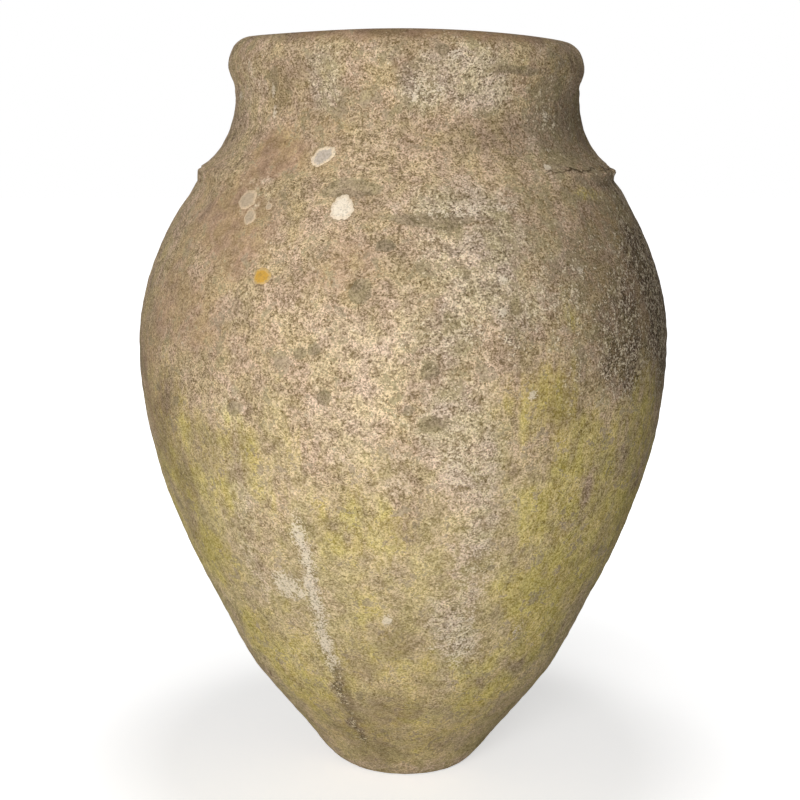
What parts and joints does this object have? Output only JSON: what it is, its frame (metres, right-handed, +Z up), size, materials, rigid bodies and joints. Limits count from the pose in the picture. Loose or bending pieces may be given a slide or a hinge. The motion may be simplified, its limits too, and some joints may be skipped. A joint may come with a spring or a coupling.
{
  "type": "olive jar",
  "caption": "Large hand-built unglazed clay storage jar with a wide belly, a small flat foot, a luted neck and a rolled open rim.",
  "frame": {"origin": "middle of the flat underside", "axes": "+Z up along the jar's own axis, out of the mouth; -Y faces the viewer of the picture; +X to the right"},
  "size_m": [0.642, 0.642, 0.895],
  "materials": {
    "weathered_clay": "unglazed, weathered, with lichen and algae",
    "foot_clay": "unglazed, worn and stained",
    "inner_clay": "unglazed, plain"
  },
  "bodies": {
    "root": {"base_slab": "foot_clay", "corner_coil": "inner_clay", "foot_section": "foot_clay", "lower_section": "weathered_clay", "lower_belly_section": "weathered_clay", "upper_belly_section": "weathered_clay", "shoulder_section": "weathered_clay", "luted_band": "weathered_clay", "neck_section": "weathered_clay", "rim_roll": "weathered_clay"}
  },
  "joints": []
}
